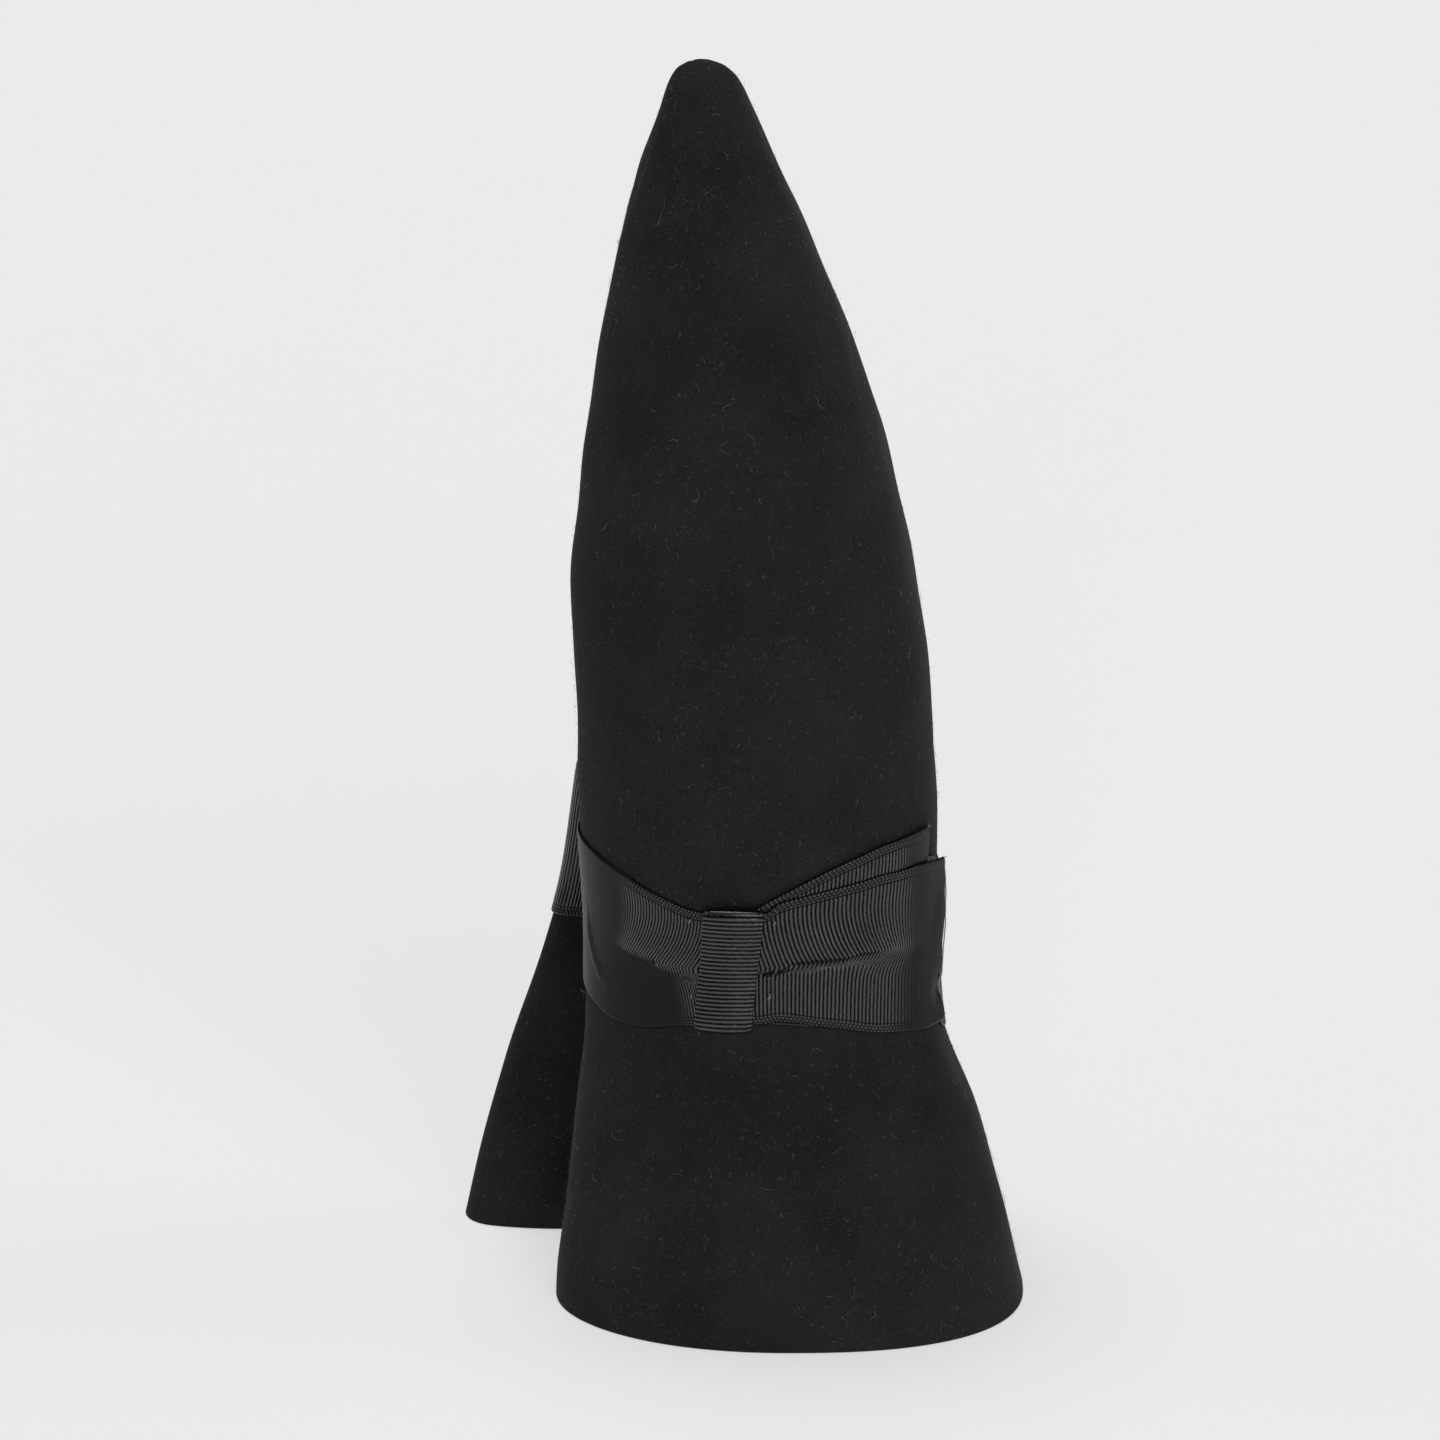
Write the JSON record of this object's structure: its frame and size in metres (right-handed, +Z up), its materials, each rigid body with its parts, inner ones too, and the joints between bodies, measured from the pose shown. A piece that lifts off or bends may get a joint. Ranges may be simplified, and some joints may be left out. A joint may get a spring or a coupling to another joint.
{
  "type": "fedora folded and rolled into a cone",
  "caption": "Soft felt fedora with a ribbon band and flat bow, folded and rolled into a cone that stands on its brim edge.",
  "frame": {"origin": "middle of the hat's box in plan, at the level of the brim's edge that it stands on", "axes": "+Z up along the cone, -Y towards the side with the bow, +X to the right of someone who faces the bow"},
  "size_m": [0.1185, 0.0951, 0.2601],
  "materials": {
    "felt": "black wool felt, matt, short fibres",
    "ribbon": "black grosgrain ribbon, fine ribs, soft sheen"
  },
  "bodies": {
    "root": {"felt_body": "felt", "ribbon_band": "ribbon", "bow_tail_back": "ribbon", "bow_tail_front": "ribbon", "bow_knot": "ribbon"}
  },
  "joints": []
}
